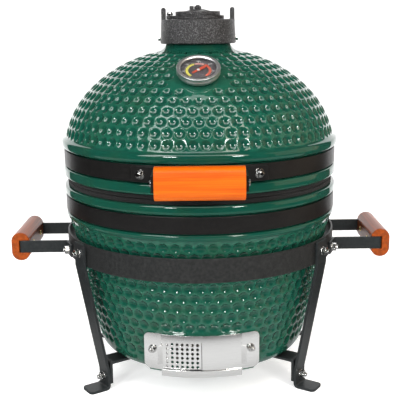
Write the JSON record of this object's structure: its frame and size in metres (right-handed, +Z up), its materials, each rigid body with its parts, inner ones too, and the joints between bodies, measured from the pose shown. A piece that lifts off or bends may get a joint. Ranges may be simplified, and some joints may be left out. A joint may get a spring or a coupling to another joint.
{
  "type": "kamado charcoal grill",
  "caption": "Egg-shaped ceramic charcoal grill with a hinged dimpled dome lid, draft door, top vent and side handles on a low steel stand.",
  "frame": {"origin": "on the floor under the middle of the grill, on the body's vertical axis", "axes": "+Z up, front with the draft door and thermometer towards -Y, +X to the right seen from the front"},
  "size_m": [0.542, 0.5132, 0.5348],
  "materials": {
    "glaze": "deep green gloss glaze over pressed dimples",
    "felt": "pressed black felt",
    "powder_coat": "satin black powder coat",
    "leg_coat": "dark grey powder coat",
    "fastener_chrome": "bright zinc and chrome",
    "bamboo": "stained and lacquered bamboo",
    "brass_screw": "bright brass",
    "fired_clay": "unglazed fired clay",
    "cast_iron": "speckled high-temperature paint on cast iron",
    "stainless": "brushed stainless steel",
    "dial_face": "printed dial",
    "pointer_red": "matte red",
    "clear_glass": "clear flat glass"
  },
  "bodies": {
    "stand_base": {"base_shell": "glaze", "base_gasket": "felt", "base_band": "powder_coat", "stand_ring": "powder_coat", "leg_front_left": "leg_coat", "leg_front_right": "leg_coat", "leg_rear_left": "leg_coat", "leg_rear_right": "leg_coat", "cross_strap_upper": "leg_coat", "cross_strap_lower": "leg_coat", "leg_top_bolts": "fastener_chrome", "leg_foot_bolts": "fastener_chrome", "handle_bar_left": "leg_coat", "handle_bar_right": "leg_coat", "handle_bolts": "fastener_chrome", "side_grip_left": "bamboo", "side_grip_right": "bamboo", "grip_strip_left": "bamboo", "grip_strip_right": "bamboo", "grip_screws": "brass_screw", "fire_box": "fired_clay", "fire_ring": "fired_clay", "charcoal_grate": "cast_iron", "grid_rim": "stainless", "grid_bars": "stainless", "draft_frame": "stainless", "draft_frame_bolts": "fastener_chrome", "hinge_lower_bracket": "powder_coat", "hinge_pin": "fastener_chrome", "hinge_lower_bolts": "fastener_chrome"},
    "lid": {"lid_shell": "glaze", "lid_gasket": "felt", "lid_band": "powder_coat", "hinge_upper_bracket": "powder_coat", "hinge_bush": "brass_screw", "hinge_upper_bolts": "fastener_chrome", "lid_bracket_left": "powder_coat", "lid_bracket_right": "powder_coat", "lid_grip": "bamboo", "lid_grip_screws": "fastener_chrome", "lid_handle_bolts": "fastener_chrome", "thermo_case": "stainless", "thermo_bezel": "stainless", "thermo_lens": "clear_glass", "thermo_dial": "dial_face", "thermo_probe": "stainless", "thermo_nut": "fastener_chrome", "vent_base": "cast_iron", "vent_gasket": "felt", "vent_clamp_screws": "fastener_chrome", "vent_pivot_bolt": "fastener_chrome"},
    "draft_screen": {"draft_screen": "stainless"},
    "draft_door": {"draft_door": "stainless"},
    "vent_slide": {"vent_slide": "cast_iron"},
    "daisy_wheel": {"daisy_wheel": "cast_iron", "vent_knob": "cast_iron"},
    "gauge_pointer": {"thermo_pointer": "pointer_red"}
  },
  "joints": [
    {"name": "lid_hinge", "type": "hinge", "parent": "stand_base", "child": "lid", "pos_m": [0, 0.24, 0.2944], "axis": [-1, 0, 0], "range_deg": [0, 75]},
    {"name": "draft_screen_slide", "type": "hinge", "parent": "stand_base", "child": "draft_screen", "pos_m": [0, 0, 0.0775], "axis": [0, 0, 1], "range_deg": [0, 17.5]},
    {"name": "draft_door_slide", "type": "hinge", "parent": "stand_base", "child": "draft_door", "pos_m": [0, 0, 0.0775], "axis": [0, 0, 1], "range_deg": [-17.5, 0]},
    {"name": "vent_swing", "type": "hinge", "parent": "lid", "child": "vent_slide", "pos_m": [-0.0394, 0, 0.5178], "axis": [0, 0, 1], "range_deg": [0, 68]},
    {"name": "daisy_turn", "type": "hinge", "parent": "vent_slide", "child": "daisy_wheel", "pos_m": [0, 0, 0.5233], "axis": [0, 0, 1], "range_deg": [0, 36]},
    {"name": "gauge_needle", "type": "hinge", "parent": "lid", "child": "gauge_pointer", "pos_m": [0, -0.1293, 0.4552], "axis": [0, -0.5225, 0.8526], "range_deg": [-86, 184]}
  ]
}
